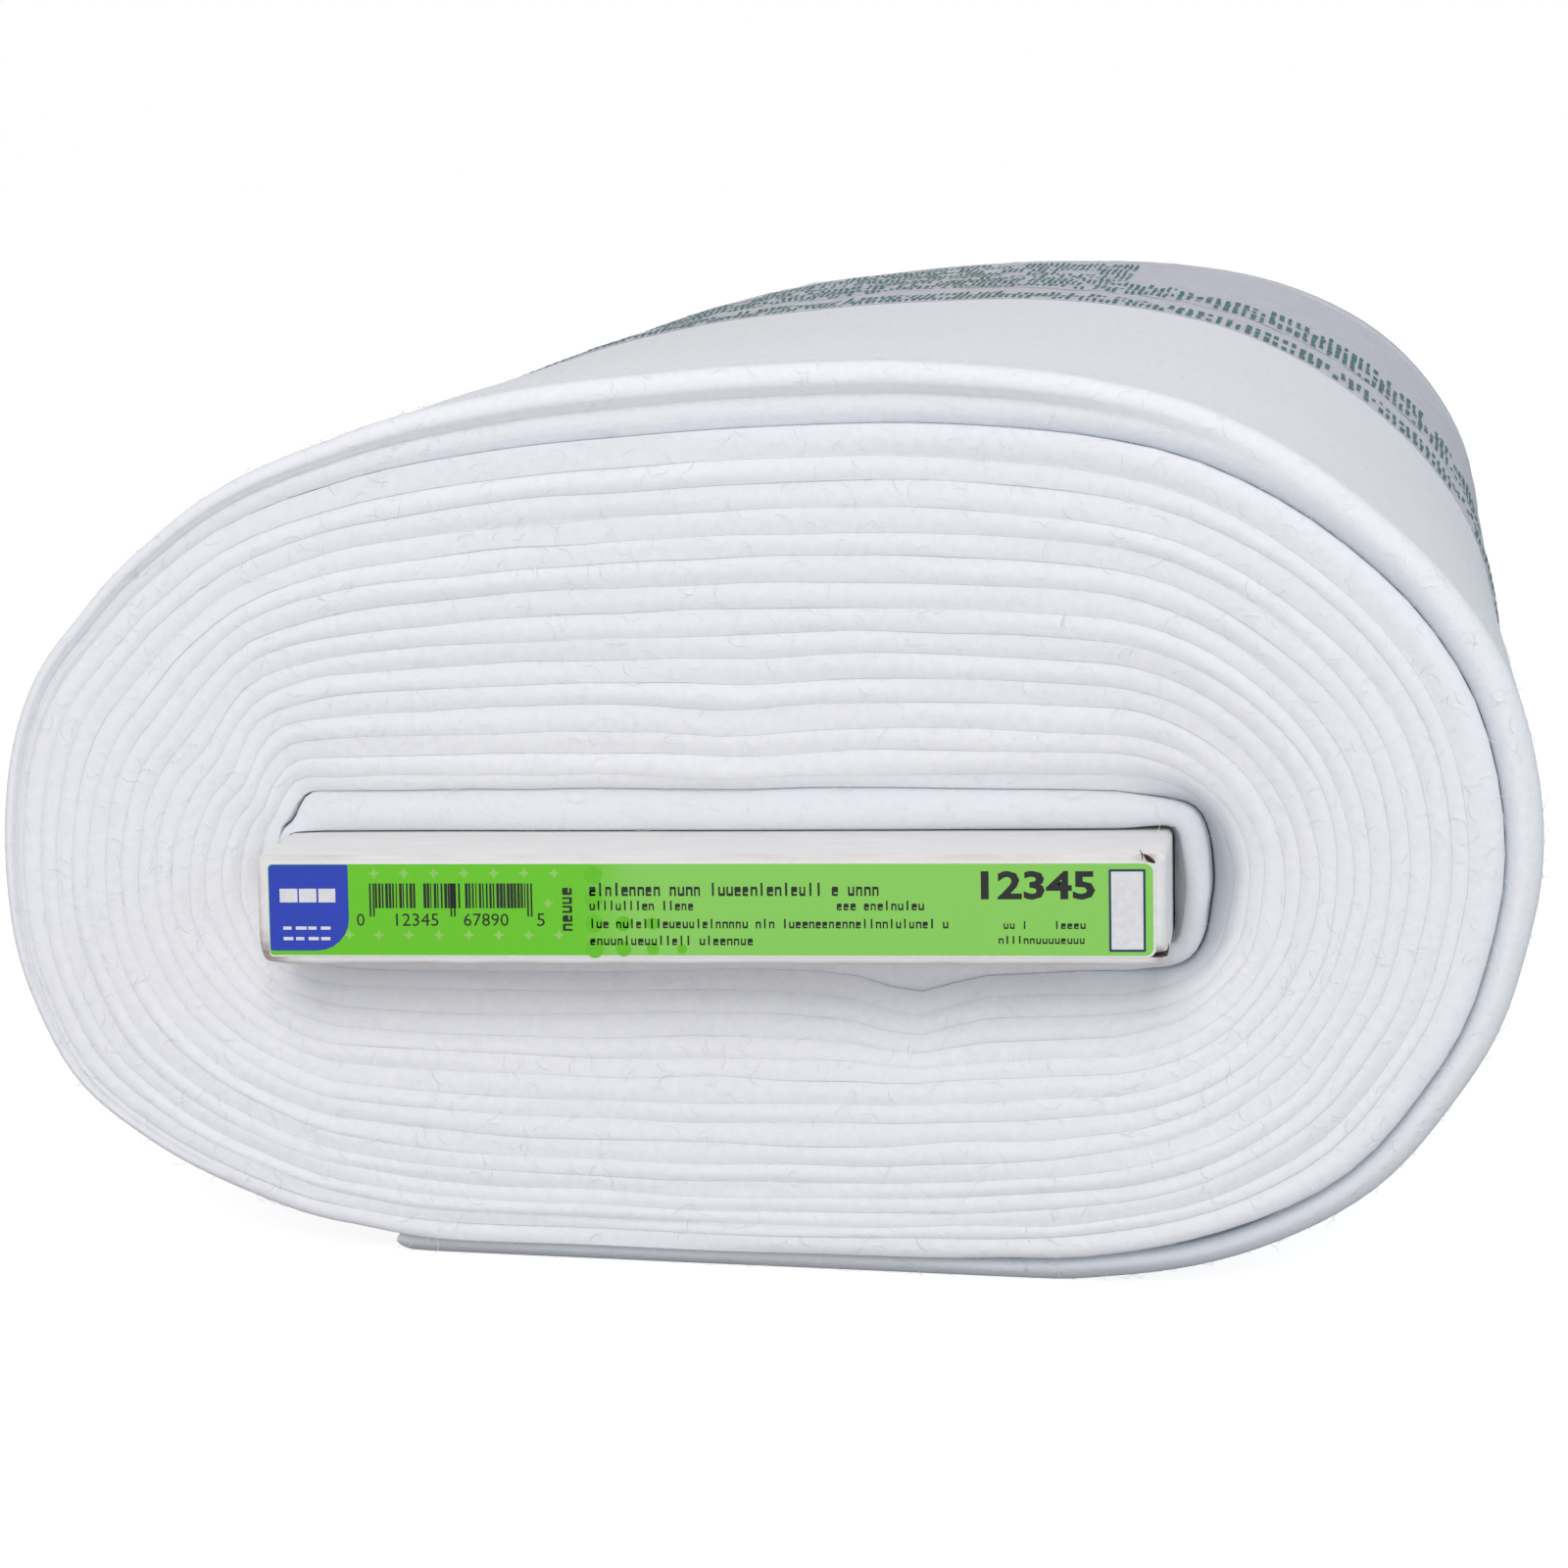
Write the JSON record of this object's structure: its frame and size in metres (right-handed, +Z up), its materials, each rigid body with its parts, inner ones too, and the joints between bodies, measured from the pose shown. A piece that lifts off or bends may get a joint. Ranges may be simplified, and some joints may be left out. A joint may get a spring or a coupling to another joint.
{
  "type": "roll of quilt batting",
  "caption": "White needled fleece batting folded in half and wound on a flat cardboard bolt board, lying on its flat spot with its loose end under it",
  "frame": {"origin": "on the surface the roll lies on, under the middle of the roll", "axes": "+Z up, +Y along the roll from its labelled near end to its far end, +X to the right seen from the near end"},
  "size_m": [0.2994, 0.6105, 0.1787],
  "materials": {
    "batting": "white needled polyester fleece, matt and slightly fuzzy",
    "cardboard": "white-faced cardboard, matt, slightly worn at the corners",
    "label": null,
    "film": "thin translucent plastic strip printed with rows of green dashes"
  },
  "bodies": {
    "root": {"batting_roll": "batting", "loose_end": "batting", "bolt_board": "cardboard", "end_label": "label", "print_strip": "film"}
  },
  "joints": []
}
